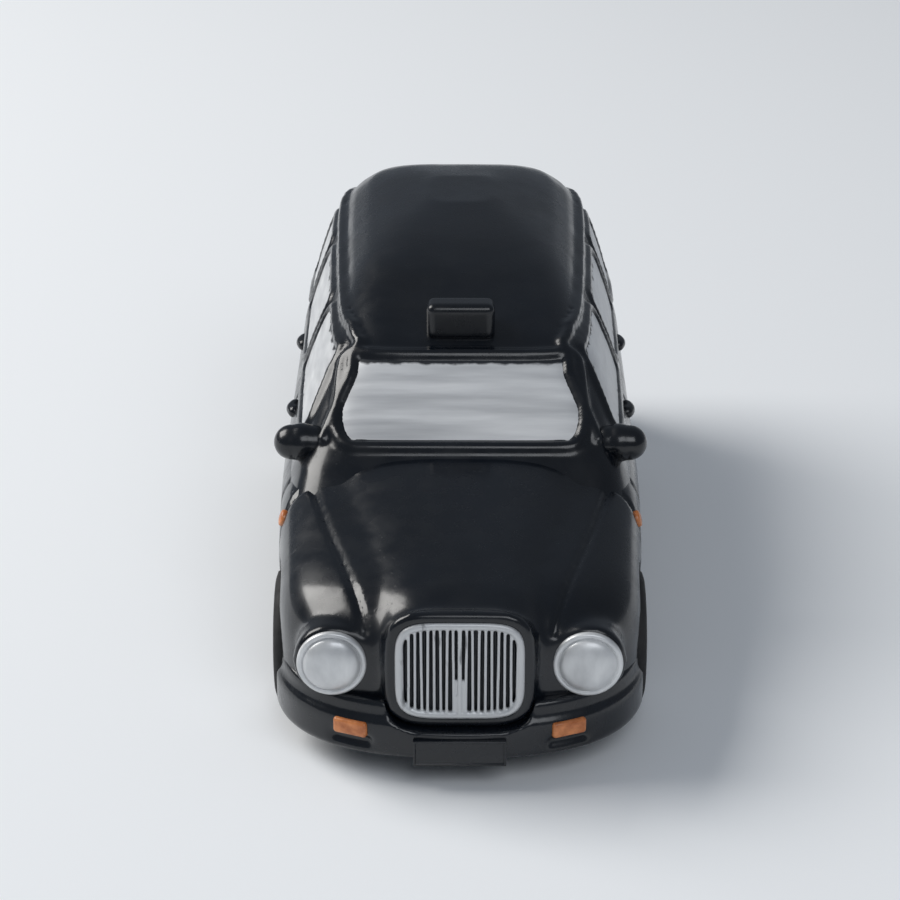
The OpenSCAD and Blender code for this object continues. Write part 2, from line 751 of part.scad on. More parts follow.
// Turned wheel with a dished face, a raised hub and a bore for the axle
hub_d = 5;
dish = 1;
rim_w = 1.2;
module on_wheel(y, s) {
    translate([s * (half_w - tyre_inset - tyre_w), y, axle_z])
        rotate([0, 90 * s, 0]) children();
}
module wheel(y, s) {
    bore_r = axle_d / 2 + push_fit;
    face = tyre_w - 0.4;
    color(silver) on_wheel(y, s)
        rotate_extrude()
            polygon([
                [bore_r, 0], [wheel_d / 2, 0], [wheel_d / 2, face], [wheel_d / 2 - rim_w, face],
                [wheel_d / 2 - rim_w - 0.6, face - dish], [hub_d / 2, face - dish],
                [hub_d / 2 - 0.4, face - 0.2], [bore_r, face - 0.2]
            ]);
}
module tyre(y, s) {
    inner = wheel_d / 2 + push_fit;
    outer = tyre_d / 2;
    round_r = 1.2;
    color("#17191b") on_wheel(y, s)
        rotate_extrude()
            polygon(concat(
                [[inner, 0], [outer - round_r, 0]],
                [for (i = [1:4]) let (a = -90 + 90 * i / 4)
                    [outer - round_r + round_r * cos(a), round_r + round_r * sin(a)]],
                [for (i = [0:4]) let (a = 90 * i / 4)
                    [outer - round_r + round_r * cos(a), tyre_w - round_r + round_r * sin(a)]],
                [[inner, tyre_w]]));
}

body_shell();
base_plate();
base_screw(front_screw_y);  // front_base_screw
base_screw(rear_screw_y);  // rear_base_screw
windscreen();
rear_window();
door_window(0, 1);  // front_door_window_left
door_window(0, -1);  // front_door_window_right
door_window(1, 1);  // rear_door_window_left
door_window(1, -1);  // rear_door_window_right
door_window(2, 1);  // quarter_window_left
door_window(2, -1);  // quarter_window_right
grille();
headlight(1);  // headlight_left
headlight(-1);  // headlight_right
front_bumper();
rear_bumper();
front_number_plate();
rear_number_plate();
indicator(1);  // indicator_left
indicator(-1);  // indicator_right
side_repeater(1);  // side_repeater_left
side_repeater(-1);  // side_repeater_right
tail_light(1);  // tail_light_left
tail_light(-1);  // tail_light_right
mirror_pod(1);  // mirror_left
mirror_pod(-1);  // mirror_right
door_handle(front_handle_y, 1);  // front_door_handle_left
door_handle(front_handle_y, -1);  // front_door_handle_right
door_handle(rear_handle_y, 1);  // rear_door_handle_left
door_handle(rear_handle_y, -1);  // rear_door_handle_right
roof_sign();
axle(front_axle_y);  // front_axle
axle(rear_axle_y);  // rear_axle
wheel(front_axle_y, 1);  // front_wheel_left
wheel(front_axle_y, -1);  // front_wheel_right
wheel(rear_axle_y, 1);  // rear_wheel_left
wheel(rear_axle_y, -1);  // rear_wheel_right
tyre(front_axle_y, 1);  // front_tyre_left
tyre(front_axle_y, -1);  // front_tyre_right
tyre(rear_axle_y, 1);  // rear_tyre_left
tyre(rear_axle_y, -1);  // rear_tyre_right
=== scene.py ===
"""Looks of a small cast taxi cab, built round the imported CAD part. Shapes are worked out in millimetres."""
import math

import bmesh
import bpy
import numpy as np
from mathutils import Matrix, Vector
from mathutils.bvhtree import BVHTree
from mathutils.kdtree import KDTree


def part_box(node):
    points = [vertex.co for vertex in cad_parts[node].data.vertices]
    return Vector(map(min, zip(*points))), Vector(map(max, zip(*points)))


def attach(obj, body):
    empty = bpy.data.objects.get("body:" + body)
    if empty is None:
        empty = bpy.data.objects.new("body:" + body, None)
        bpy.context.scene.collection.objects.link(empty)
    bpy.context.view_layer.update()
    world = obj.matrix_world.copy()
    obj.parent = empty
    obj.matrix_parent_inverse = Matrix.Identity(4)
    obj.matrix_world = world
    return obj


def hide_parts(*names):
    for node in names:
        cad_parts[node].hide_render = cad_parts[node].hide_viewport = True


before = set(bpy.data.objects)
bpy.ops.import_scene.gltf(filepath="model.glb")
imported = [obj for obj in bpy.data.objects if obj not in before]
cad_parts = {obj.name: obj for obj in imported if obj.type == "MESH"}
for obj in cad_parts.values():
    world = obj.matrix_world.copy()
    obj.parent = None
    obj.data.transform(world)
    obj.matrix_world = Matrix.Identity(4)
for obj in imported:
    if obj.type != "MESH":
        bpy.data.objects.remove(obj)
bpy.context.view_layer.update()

# ---------------------------------------------------------------------------------------------
# Lower body: the wings, doors, boot and bonnet of the cast shell, painted gloss black.
# One soft casting: lofted solids run together, with the wheel arches and the base plate's seat
# cut out of it, and shallow shut lines pressed in.
# ---------------------------------------------------------------------------------------------


def box_mm(node):
    low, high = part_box(node)
    return low * 1000, high * 1000


shell_low, shell_high = box_mm("body_shell")
half_w = shell_high.x
tail_y = shell_high.y
nose_y = -tail_y
sill_z = shell_low.z
screen_y = nose_y + 39.5
nose_z = 26
waist_z = 30.6
scuttle_z = 32.6
widest_z = sill_z + 10


def rounded(d, length, power):
    """Grows from 0 at an end to 1 at the given length from it, as a rounded corner."""
    return (1 - (1 - min(1, max(0, d) / length)) ** power) ** (1 / power)


def oblong(turn, power):
    """Point on a rounded square of half width 1, at a share of a full turn."""
    across, up = math.cos(2 * math.pi * turn), math.sin(2 * math.pi * turn)
    reach = (abs(across) ** power + abs(up) ** power) ** (1 / power)
    return across / reach, up / reach


def wing_share(y):
    return min(1, (y - nose_y) / (screen_y - nose_y))


def body_half(y):
    front_corner_l, rear_corner_l, corner_power, front_taper = 19, 12, 2.7, 3
    back = screen_y + front_corner_l
    taper = max(0, min(1, (back - y) / (back - nose_y))) ** 1.6
    corner_l = front_corner_l if y < 0 else rear_corner_l
    return (half_w - front_taper * taper) * rounded(min(y - nose_y, tail_y - y), corner_l, corner_power)


def body_top(y):
    edge_l, edge_h = 11, 5.5
    ridge = nose_z + (waist_z - nose_z) * wing_share(y)
    return ridge - edge_h * (1 - rounded(min(y - nose_y, tail_y - y), edge_l, 2))


def skinned(bm, columns, rows, place):
    """Wraps a grid onto a shape: place(u, v) says where, closed along u and capped at both ends of v."""
    grid = bmesh.ops.create_grid(bm, x_segments=columns, y_segments=rows, size=0.5)["verts"]
    for vert in grid:
        vert.co = place(vert.co.x + 0.5, vert.co.y + 0.5)
    bmesh.ops.remove_doubles(bm, verts=grid, dist=0.0005)
    bmesh.ops.holes_fill(bm, edges=[edge for edge in bm.edges if edge.is_boundary])
    bmesh.ops.recalc_face_normals(bm, faces=bm.faces)


def body_skin(u, v):
    end = 0.05
    y = nose_y + end + (tail_y - nose_y - 2 * end) * (1 - math.cos(math.pi * v)) / 2
    power = 2.8 + 2.2 * wing_share(y) if u < 0.5 else 8
    across, up = oblong(u, power)
    height = body_top(y) - widest_z if u < 0.5 else widest_z - sill_z
    return Vector((across * body_half(y), y, widest_z + up * height))


def bonnet_skin(u, v):
    places = [nose_y, nose_y + 1.5, nose_y + 6, screen_y, screen_y + 7]
    y = places[0] + (places[-1] - places[0]) * v
    width = np.interp(y, places, [10.6, 11.4, 12.4, 21, 21])
    crest = np.interp(y, places, [26.2, 26.8, 28.0, scuttle_z, scuttle_z - 1])
    across, up = oblong(u, 3.4)
    return Vector((across * width, y, crest - 9 + 9 * up))


grille_low, grille_high = box_mm("grille")
grille_middle = (grille_low + grille_high) / 2
grille_half_w = grille_high.x
grille_half_h = (grille_high.z - grille_low.z) / 2
grille_power = 5


def grille_edge(turn, grow):
    across, up = oblong(turn, grille_power)
    return Vector((across * (grille_half_w + grow), 0, grille_middle.z + up * (grille_half_h + grow)))


def bar(bm, path, radius, closed=False):
    """Lays a round bar along a path, with rounded ends where it is open."""
    curve = bpy.data.curves.new("bar", "CURVE")
    curve.dimensions = "3D"
    curve.bevel_depth = radius
    curve.bevel_resolution = 4
    spline = curve.splines.new("POLY")
    spline.points.add(len(path) - 1)
    for knot, point in zip(spline.points, path):
        knot.co = (*point, 1)
    spline.use_cyclic_u = closed
    curve.use_fill_caps = not closed
    holder = bpy.data.objects.new("bar", curve)
    bm.from_mesh(holder.to_mesh())
    bpy.data.objects.remove(holder)
    if not closed:
        for end in (path[0], path[-1]):
            bmesh.ops.create_icosphere(bm, subdivisions=3, radius=radius, matrix=Matrix.Translation(end))


def cast(bm, grain, rounds):
    """Runs overlapping solids together into one skin of the given grain, then softens it."""
    mesh = bpy.data.meshes.new("mould")
    bm.to_mesh(mesh)
    bm.free()
    mould = bpy.data.objects.new("mould", mesh)
    bpy.context.scene.collection.objects.link(mould)
    remesh = mould.modifiers.new("casting", "REMESH")
    remesh.mode = "VOXEL"
    remesh.voxel_size = grain
    casting = bmesh.new()
    casting.from_object(mould, bpy.context.evaluated_depsgraph_get())
    bpy.data.objects.remove(mould)
    soften(casting, rounds)
    return casting


def soften(bm, rounds):
    for _ in range(rounds):
        bmesh.ops.smooth_vert(
            bm, verts=bm.verts, factor=0.5, use_axis_x=True, use_axis_y=True, use_axis_z=True
        )


def cut_away(bm, cutter):
    """Takes the cutter's solids out of a casting."""
    parts = []
    for name, solid in (("casting", bm), ("cutter", cutter)):
        mesh = bpy.data.meshes.new(name)
        solid.to_mesh(mesh)
        solid.free()
        parts.append(bpy.data.objects.new(name, mesh))
        bpy.context.scene.collection.objects.link(parts[-1])
    knife = parts[0].modifiers.new("cut", "BOOLEAN")
    knife.operation = "DIFFERENCE"
    knife.solver = "EXACT"
    knife.object = parts[1]
    result = bmesh.new()
    result.from_object(parts[0], bpy.context.evaluated_depsgraph_get())
    for part in parts:
        bpy.data.objects.remove(part)
    return result


def spaced(path, step):
    """Points a step apart along a path of corners."""
    points = []
    for start, end in zip(path, path[1:]):
        count = max(1, round((end - start).length / step))
        points += [start.lerp(end, i / count) for i in range(count)]
    return points + [path[-1]]


def touch(tree, points, direction):
    """Where each point, moved along a direction, meets the casting."""
    hits = (tree.ray_cast(point, direction) for point in points)
    return [hit[0] for hit in hits if hit[0] is not None]


def engrave(bm, points, width, depth):
    """Presses a soft line into a casting, or raises one where the depth is negative."""
    line = KDTree(len(points))
    for index, point in enumerate(points):
        line.insert(point, index)
    line.balance()
    bm.normal_update()
    moves = []
    for vert in bm.verts:
        distance = line.find(vert.co)[2]
        if distance < 1.5 * width:
            moves.append((vert, vert.normal * depth * math.exp(-((distance / (0.5 * width)) ** 2))))
    for vert, move in moves:
        vert.co -= move


lower = bmesh.new()
skinned(lower, 144, 220, body_skin)
skinned(lower, 96, 90, bonnet_skin)
bar(lower, [grille_edge(i / 130, 0.45) + Vector((0, nose_y - 0.45, 0)) for i in range(130)], 1.15, True)
skinned(lower, 60, 8, lambda u, v: grille_edge(u, 0.2) + Vector((0, nose_y + 5 - 5.2 * v, 0)))
lamp_low, lamp_high = box_mm("headlight_left")
lamp_middle = (lamp_low + lamp_high) / 2
lamp_r = (lamp_high.x - lamp_low.x) / 2
pod_front_y = nose_y + 1.4
pod_l, pod_set = 11, 0.35
for side in (-1, 1):
    pod = Matrix.Translation((side * lamp_middle.x, pod_front_y + pod_set + pod_l / 2, lamp_middle.z))
    bmesh.ops.create_cone(
        lower, cap_ends=True, segments=64, radius1=lamp_r + 0.7, radius2=lamp_r - 0.2, depth=pod_l,
        matrix=pod @ Matrix.Rotation(math.radians(-90), 4, "X"),
    )
lower = cast(lower, 0.55, 3)

tyre_low, tyre_high = box_mm("front_tyre_left")
arch_r = (tyre_high.z - tyre_low.z) / 2 + 1
axle_z = (tyre_high.z + tyre_low.z) / 2
axles_y = [sum(corner.y for corner in box_mm(f"{end}_tyre_left")) / 2 for end in ("front", "rear")]
plate_low, plate_high = box_mm("base_plate")
plate_t = 1.9
well_w = 20
well_x = tyre_low.x - 0.6 + well_w / 2
seat = bmesh.new()
for y in axles_y:
    for side in (-1, 1):
        bmesh.ops.create_cone(
            seat, cap_ends=True, segments=96, radius1=arch_r, radius2=arch_r, depth=well_w,
            matrix=Matrix.Translation((side * well_x, y, axle_z))
            @ Matrix.Rotation(math.radians(90), 4, "Y"),
        )
        well = bmesh.ops.create_cube(seat, size=1)["verts"]
        bmesh.ops.scale(seat, vec=(well_w, 2 * arch_r, axle_z + 2), verts=well)
        bmesh.ops.translate(seat, vec=(side * well_x, y, axle_z / 2 - 1), verts=well)


def seat_skin(u, v):
    y = plate_low.y - 0.12 + (plate_high.y - plate_low.y + 0.24) * (1 - math.cos(math.pi * u)) / 2
    return Vector(((2 * v - 1) * max(0.4, body_half(y) - 2.1), y, 0))


seat_faces = bmesh.new()
bmesh.ops.create_grid(seat_faces, x_segments=60, y_segments=1, size=0.5)
for vert in seat_faces.verts:
    vert.co = seat_skin(vert.co.x + 0.5, vert.co.y + 0.5)
raised = bmesh.ops.extrude_face_region(seat_faces, geom=seat_faces.faces[:])["geom"]
raised_verts = [item for item in raised if isinstance(item, bmesh.types.BMVert)]
bmesh.ops.translate(seat_faces, vec=(0, 0, plate_low.z + plate_t), verts=raised_verts)
bmesh.ops.recalc_face_normals(seat_faces, faces=seat_faces.faces)
seat_mesh = bpy.data.meshes.new("seat")
seat_faces.to_mesh(seat_mesh)
seat_faces.free()
seat.from_mesh(seat_mesh)
lower = cast(cut_away(lower, cast(seat, 0.5, 0)), 0.55, 4)

door_front_y, door_middle_y, door_rear_y = -21.5, 11.3, 38.5
door_low_z = sill_z + 3
rear_arch = [
    (axles_y[1] - (arch_r + 2.2) * math.cos(turn), axle_z + (arch_r + 2.2) * math.sin(turn))
    for turn in np.linspace(math.radians(-10), math.radians(66), 9)
]
shut_lines = [
    [(door_front_y - 2, waist_z - 1.5), (door_front_y - 1, 16), (door_front_y + 1, door_low_z + 1.5),
     (door_front_y + 3, door_low_z), (door_middle_y, door_low_z)],
    [(door_middle_y, waist_z), (door_middle_y, door_low_z)],
    [(door_middle_y, door_low_z), (rear_arch[0][0], door_low_z), *rear_arch, (door_rear_y, waist_z)],
]
# The groove between bonnet and wing from the windscreen to the nose, as half width and place
wing_groove = ((22.6, -29), (19.6, -42), (14.3, -61), (13.4, -64))
above = 60
tree = BVHTree.FromBMesh(lower)
engraved = []
for side in (-1, 1):
    for line in shut_lines:
        path = spaced([Vector((side * 2 * half_w, y, z)) for y, z in line], 0.25)
        engraved += touch(tree, path, Vector((-side, 0, 0)))
    wing = [Vector((side * x, y, above)) for x, y in wing_groove]
    engraved += touch(tree, spaced(wing, 0.25), Vector((0, 0, -1)))
    arc = [
        Vector((side * (22.4 + 5.2 * math.sin(turn)), -34.4 + 5 * math.cos(turn), above))
        for turn in np.linspace(0.1, 1.6, 14)
    ]
    engraved += touch(tree, spaced(arc, 0.25), Vector((0, 0, -1)))
boot_half, boot_low_z, boot_high_z = 15.5, 14.5, 27.5
boot_corners = ((-boot_half, boot_high_z), (-boot_half, boot_low_z), (boot_half, boot_low_z),
                (boot_half, boot_high_z))
boot = [Vector((x, 2 * tail_y, z)) for x, z in boot_corners]
engraved += touch(tree, spaced(boot, 0.25), Vector((0, -1, 0)))
engrave(lower, engraved, 0.9, 0.5)
body_tree = BVHTree.FromBMesh(lower)


def recipe(name, **sockets):
    """A new finish with its plain shader values set."""
    finish = bpy.data.materials.new(name)
    finish.use_nodes = True
    for socket, value in sockets.items():
        finish.node_tree.nodes["Principled BSDF"].inputs[socket.replace("_", " ")].default_value = value
    return finish


def add(finish, kind, **sockets):
    """A node whose inputs are plain values or other nodes' outputs."""
    node = finish.node_tree.nodes.new("ShaderNode" + kind)
    for name, value in sockets.items():
        socket = node.inputs[name.replace("_", " ")]
        if isinstance(value, bpy.types.NodeSocket):
            finish.node_tree.links.new(value, socket)
        else:
            socket.default_value = value
    return node


def grain_of(finish, scale, detail=2.0, stretch=(1, 1, 1)):
    """Noise with about so many features to the metre, drawn out along an axis by its stretch."""
    where = add(finish, "TexCoord").outputs["Object"]
    turned = add(finish, "Mapping", Vector=where, Scale=stretch).outputs["Vector"]
    return add(finish, "TexNoise", Vector=turned, Scale=scale, Detail=detail).outputs["Fac"]


def spread(finish, value, from_low, from_high, to_low=0.0, to_high=1.0):
    """Stretches part of a value's range over another, and holds it at the ends."""
    node = add(finish, "MapRange", Value=value, From_Min=from_low, From_Max=from_high,
               To_Min=to_low, To_Max=to_high)
    return node.outputs["Result"]


def blended(finish, share, first, second):
    """First colour where the share is 0, second where it is 1."""
    node = finish.node_tree.nodes.new("ShaderNodeMix")
    node.data_type = "RGBA"
    for index, value in ((0, share), (6, first), (7, second)):
        if isinstance(value, bpy.types.NodeSocket):
            finish.node_tree.links.new(value, node.inputs[index])
        else:
            node.inputs[index].default_value = value
    return node.outputs[2]


def math_of(finish, operation, first, second):
    node = finish.node_tree.nodes.new("ShaderNodeMath")
    node.operation = operation
    for index, value in enumerate((first, second)):
        if isinstance(value, bpy.types.NodeSocket):
            finish.node_tree.links.new(value, node.inputs[index])
        else:
            node.inputs[index].default_value = value
    return node.outputs[0]


def feed(finish, **sockets):
    """Links outputs into the shader."""
    shader = finish.node_tree.nodes["Principled BSDF"]
    for name, output in sockets.items():
        finish.node_tree.links.new(output, shader.inputs[name.replace("_", " ")])


def bump(finish, height, strength, distance):
    node = add(finish, "Bump", Strength=strength, Distance=distance, Height=height)
    feed(finish, Normal=node.outputs["Normal"])


def painted(name, dark, light, rough):
    """Brushed-on gloss enamel: a little uneven in colour and gloss, with fine dust under it."""
    finish = recipe(name, Coat_Weight=0.3, Coat_Roughness=0.1, Specular_IOR_Level=0.42)
    cloud = grain_of(finish, 55, 3)
    feed(finish, Base_Color=blended(finish, spread(finish, cloud, 0.35, 0.7), dark, light))
    feed(finish, Roughness=spread(finish, grain_of(finish, 240, 3), 0.3, 0.7, rough, rough + 0.16))
    dust = spread(finish, grain_of(finish, 1300, 1), 0.70, 0.80)
    skin = math_of(finish, "ADD", math_of(finish, "MULTIPLY", dust, 0.5), grain_of(finish, 190, 2))
    bump(finish, skin, 0.16, 0.0003)
    return finish


black_paint = painted("black_paint", (0.0016, 0.0028, 0.0052, 1), (0.0036, 0.0056, 0.0095, 1), 0.18)


def finished(bm, name, body, finish, slot, *nodes):
    """Turns millimetres into metres, makes the piece, and hangs it on its body."""
    bmesh.ops.scale(bm, vec=(0.001, 0.001, 0.001), verts=bm.verts)
    mesh = bpy.data.meshes.new(name)
    bm.to_mesh(mesh)
    bm.free()
    mesh.shade_smooth()
    mesh.materials.append(finish)
    piece = bpy.data.objects.new(name, mesh)
    bpy.context.scene.collection.objects.link(piece)
    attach(piece, body)
    if nodes:
        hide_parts(*nodes)
    return piece


finished(lower, "lower_body", "cab", black_paint, "black_paint", "body_shell")

# ---------------------------------------------------------------------------------------------
# Cabin: the roof and pillars of the same casting, with raised round frames about the windows and
# a drip rail along each side of the roof that bends down the windscreen pillar.
# ---------------------------------------------------------------------------------------------

roof_z = shell_high.z
cabin_low = waist_z - 6
# Columns: share of the cabin's height, set back in front, set in behind, set in at the sides,
# share of the width lost at the front
LEVELS = np.array([
    [0.00, -10.0, 2.4, 0.8, 0.02],
    [0.21, -2.8, 2.7, 1.9, 0.05],
    [0.27, -0.5, 2.9, 2.5, 0.07],
    [0.40, 4.6, 3.2, 3.6, 0.10],
    [0.53, 9.4, 3.5, 4.9, 0.14],
    [0.64, 13.0, 4.0, 6.2, 0.19],
    [0.71, 16.5, 4.6, 7.4, 0.21],
    [0.80, 24.0, 5.8, 9.4, 0.22],
    [0.89, 33.0, 8.6, 12.4, 0.22],
    [0.95, 42.0, 13.0, 16.2, 0.22],
    [1.00, 56.0, 24.0, 22.8, 0.22],
])
SHARES = np.linspace(0, 1, 201)


def eased(values):
    """Takes the corners off a table's straight runs."""
    kernel = np.exp(-np.linspace(-2, 2, 17) ** 2)
    padded = np.pad(np.interp(SHARES, LEVELS[:, 0], values), 8, mode="reflect", reflect_type="odd")
    return np.convolve(padded, kernel / kernel.sum(), "valid")


EASED = [eased(LEVELS[:, column]) for column in range(5)]


def level(share, column):
    return float(np.interp(share, SHARES, EASED[column]))


def cabin_skin(u, v):
    share = math.sin(math.pi / 2 * v)
    front, rear = screen_y + level(share, 1), tail_y - level(share, 2)
    across, along = oblong(u, 10 - 5.5 * share**3)
    y = (front + rear) / 2 + (rear - front) / 2 * along
    narrowing = 1 - level(share, 4) * max(0, (tail_y - y) / (tail_y - screen_y)) ** 2
    x = across * (half_w - level(share, 3)) * narrowing
    return Vector((x, y, cabin_low + share * (roof_z - cabin_low)))


def rounded_outline(corners, radius):
    """Closed path through flat corners, each turned with the radius."""
    path = []
    for index, corner in enumerate(corners):
        before = (corners[index - 1] - corner).normalized()
        after = (corners[(index + 1) % len(corners)] - corner).normalized()
        half_angle = before.angle(after) / 2
        centre = corner + (before + after).normalized() * radius / math.sin(half_angle)
        start = corner + before * radius / math.tan(half_angle) - centre
        end = corner + after * radius / math.tan(half_angle) - centre
        path += [centre + start.slerp(end, i / 6) * radius for i in range(7)]
    return path + path[:1]


cabin = bmesh.new()
skinned(cabin, 360, 150, cabin_skin)
soften(cabin, 5)
cabin_tree = BVHTree.FromBMesh(cabin)

screen_low, screen_high = box_mm("windscreen")
# The frame laps over the panel's foot and head
screen_low.z += 1.2
screen_high.z -= 0.6
rear_low, rear_high = box_mm("rear_window")
frame_r = 1.05


def end_corners(low, high, top_in, grow):
    """Corners of the windscreen or rear window seen from its end."""
    return [
        Vector((low.x - grow, 0, low.z - grow)), Vector((high.x + grow, 0, low.z - grow)),
        Vector((high.x - top_in + grow, 0, high.z + grow)), Vector((low.x + top_in - grow, 0, high.z + grow)),
    ]


def side_corners(node, lean, grow):
    """Corners of a side window seen from the side, its front upper one leaning back."""
    low, high = box_mm(node)
    return [
        Vector((0, low.y - grow, low.z - grow)), Vector((0, high.y + grow, low.z - grow)),
        Vector((0, high.y + grow, high.z + grow)), Vector((0, low.y + lean - grow, high.z + grow)),
    ]


def laid_on_end(path, end, sunk=0):
    started = [Vector((point.x, end * 3 * tail_y, point.z)) for point in path]
    return [hit - Vector((0, end * sunk, 0)) for hit in touch(cabin_tree, started, Vector((0, -end, 0)))]


def laid_on_side(path, side, sunk=0):
    started = [Vector((side * 3 * half_w, point.y, point.z)) for point in path]
    return [hit - Vector((side * sunk, 0, 0)) for hit in touch(cabin_tree, started, Vector((-side, 0, 0)))]


screen_top_in = 1.4
SIDE_WINDOWS = {"front_door_window": 10.5, "rear_door_window": 0.0, "quarter_window": 0.0}
for end, low, high, top_in in ((-1, screen_low, screen_high, screen_top_in), (1, rear_low, rear_high, 1.0)):
    outline = rounded_outline(end_corners(low, high, top_in, 1.05), 2.6)
    bar(cabin, laid_on_end(spaced(outline, 0.4)[:-1], end, 0.35), frame_r, True)
for side, word in ((-1, "right"), (1, "left")):
    for window, lean in SIDE_WINDOWS.items():
        outline = rounded_outline(side_corners(f"{window}_{word}", lean, 0.8), 2.3)
        bar(cabin, laid_on_side(spaced(outline, 0.4)[:-1], side, 0.15), 0.85, True)

rail_z = cabin_low + 0.7 * (roof_z - cabin_low)
for side in (-1, 1):
    rail = [(tail_y - 6.2, rail_z - 0.2), (tail_y - 9, rail_z + 0.35), (20, rail_z + 0.6), (-6, rail_z + 0.5),
            (-10.5, rail_z - 0.5), (-15, rail_z - 3.6), (-23.6, waist_z + 3.4)]
    rail_path = spaced([Vector((0, y, z)) for y, z in rail], 0.4)
    bar(cabin, laid_on_side(rail_path, side), 0.95)
cabin = cast(cabin, 0.46, 2)
finished(cabin, "cabin", "cab", black_paint, "black_paint", "body_shell")

# ---------------------------------------------------------------------------------------------
# Windows: not glass but shallow panels inside their frames, brushed over with silver paint.
# The strokes run across, and at the side windows the paint's edge is ragged.
# ---------------------------------------------------------------------------------------------


def silver_finish(name, strokes, ragged):
    """Silver model paint: stroked along one way, with black showing through near ragged edges."""
    finish = recipe(name, Coat_Weight=0.15, Coat_Roughness=0.3)
    stroke = grain_of(finish, 420, 4, strokes)
    from_edge = add(finish, "Attribute")
    from_edge.attribute_name = "edge_mm"
    cover = math_of(finish, "ADD", from_edge.outputs["Fac"],
                    spread(finish, grain_of(finish, 520, 3), 0.3, 0.7, -ragged, ragged))
    covered = spread(finish, cover, 0.25, 0.5)
    silver = blended(finish, spread(finish, stroke, 0.3, 0.72), (0.46, 0.47, 0.485, 1), (0.72, 0.73, 0.74, 1))
    feed(finish, Base_Color=blended(finish, covered, (0.012, 0.015, 0.02, 1), silver))
    feed(finish, Metallic=math_of(finish, "MULTIPLY", covered, 0.3))
    feed(finish, Roughness=spread(finish, stroke, 0.3, 0.7, 0.34, 0.5))
    bump(finish, stroke, 0.28, 0.00025)
    return finish


def panel(name, corners, laid, inward, proud, finish, node):
    """A painted panel on the casting between four corners, standing a little proud of it."""
    bm = bmesh.new()
    edge = bm.verts.layers.float.new("edge_mm")
    size_u = (corners[1] - corners[0]).length
    size_v = (corners[3] - corners[0]).length
    grid = bmesh.ops.create_grid(bm, x_segments=round(size_u / 0.5), y_segments=round(size_v / 0.5), size=0.5)
    for vert in grid["verts"]:
        u, v = vert.co.x + 0.5, vert.co.y + 0.5
        flat = corners[0].lerp(corners[1], u).lerp(corners[3].lerp(corners[2], u), v)
        vert[edge] = min(min(u, 1 - u) * size_u, min(v, 1 - v) * size_v)
        vert.co = laid([flat])[0] - inward * proud
    back = bmesh.ops.extrude_face_region(bm, geom=bm.faces[:])["geom"]
    back_verts = [item for item in back if isinstance(item, bmesh.types.BMVert)]
    bmesh.ops.translate(bm, vec=inward * 1.2, verts=back_verts)
    bmesh.ops.recalc_face_normals(bm, faces=bm.faces)
    return finished(bm, name, "cab", finish, "silver_paint", node)


screen_silver = silver_finish("screen_silver", (0.09, 1, 1), 0.15)
side_silver = silver_finish("side_silver", (1, 0.35, 1), 0.9)
panel("windscreen_panel", end_corners(screen_low, screen_high, screen_top_in, 0.6),
      lambda path: laid_on_end(path, -1), Vector((0, 1, 0)), 0.3, screen_silver, "windscreen")
panel("rear_window_panel", end_corners(rear_low, rear_high, 1.0, 0.6),
      lambda path: laid_on_end(path, 1), Vector((0, -1, 0)), 0.25, screen_silver, "rear_window")
for side, word in ((-1, "right"), (1, "left")):
    for window, lean in SIDE_WINDOWS.items():
        node = f"{window}_{word}"
        panel(node + "_panel", side_corners(node, lean, 0.3), lambda path, s=side: laid_on_side(path, s),
              Vector((-side, 0, 0)), 0.25, side_silver, node)

# ---------------------------------------------------------------------------------------------
# Grille: upright slats in a bowed frame, cast in one and dry-brushed with silver, so that the
# gaps stay black. It sits in the raised surround on the nose.
# ---------------------------------------------------------------------------------------------

grille = bmesh.new()
grille_front_y = grille_low.y
slat_pitch = 0.9
skinned(grille, 80, 3, lambda u, v: grille_edge(u, -0.4) + Vector((0, grille_front_y + 1.7 - 0.5 * v, 0)))
rim = [grille_edge(i / 260, -0.62) + Vector((0, grille_front_y + 0.55, 0)) for i in range(260)]
bar(grille, rim, 0.6, True)
for index in range(-9, 10):
    x = index * slat_pitch
    half_h = (grille_half_h - 0.5) * (1 - abs(x / grille_half_w) ** grille_power) ** (1 / grille_power)
    slat = bmesh.ops.create_cube(grille, size=1)["verts"]
    bmesh.ops.scale(grille, vec=(0.6 if index == 0 else 0.42, 1.3, 2 * half_h), verts=slat)
    lean = Matrix.Rotation(math.radians(0.5 * math.sin(index * 2.3)), 4, "Y")
    bmesh.ops.rotate(grille, cent=(0, 0, 0), matrix=lean, verts=slat)
    front = 0.12 if index == 0 else 0.26 + 0.06 * math.sin(index * 4.1)
    bmesh.ops.translate(grille, vec=(x, grille_front_y + 0.6 + front, grille_middle.z), verts=slat)
grille = cast(grille, 0.14, 2)

grille_silver = recipe("grille_silver", Coat_Weight=0.1, Coat_Roughness=0.3)
where = add(grille_silver, "TexCoord").outputs["Object"]
depth = add(grille_silver, "SeparateXYZ", Vector=where).outputs["Y"]
patch = grain_of(grille_silver, 420, 4, (1, 1, 0.32))
raised_share = spread(grille_silver, depth, (grille_front_y + 0.85) / 1000, (grille_front_y + 0.45) / 1000)
smudge = spread(grille_silver, grain_of(grille_silver, 110, 2), 0.62, 0.76, 0, 0.1)
cover = math_of(grille_silver, "ADD", raised_share, spread(grille_silver, patch, 0.3, 0.7, -0.62, 0.1))
brushed = spread(grille_silver, math_of(grille_silver, "ADD", cover, smudge), 0.3, 0.5)
gap_black, slat_silver = (0.012, 0.015, 0.02, 1), (0.56, 0.57, 0.58, 1)
feed(grille_silver, Base_Color=blended(grille_silver, brushed, gap_black, slat_silver))
feed(grille_silver, Metallic=math_of(grille_silver, "MULTIPLY", brushed, 0.5))
feed(grille_silver, Roughness=spread(grille_silver, patch, 0.3, 0.7, 0.34, 0.55))
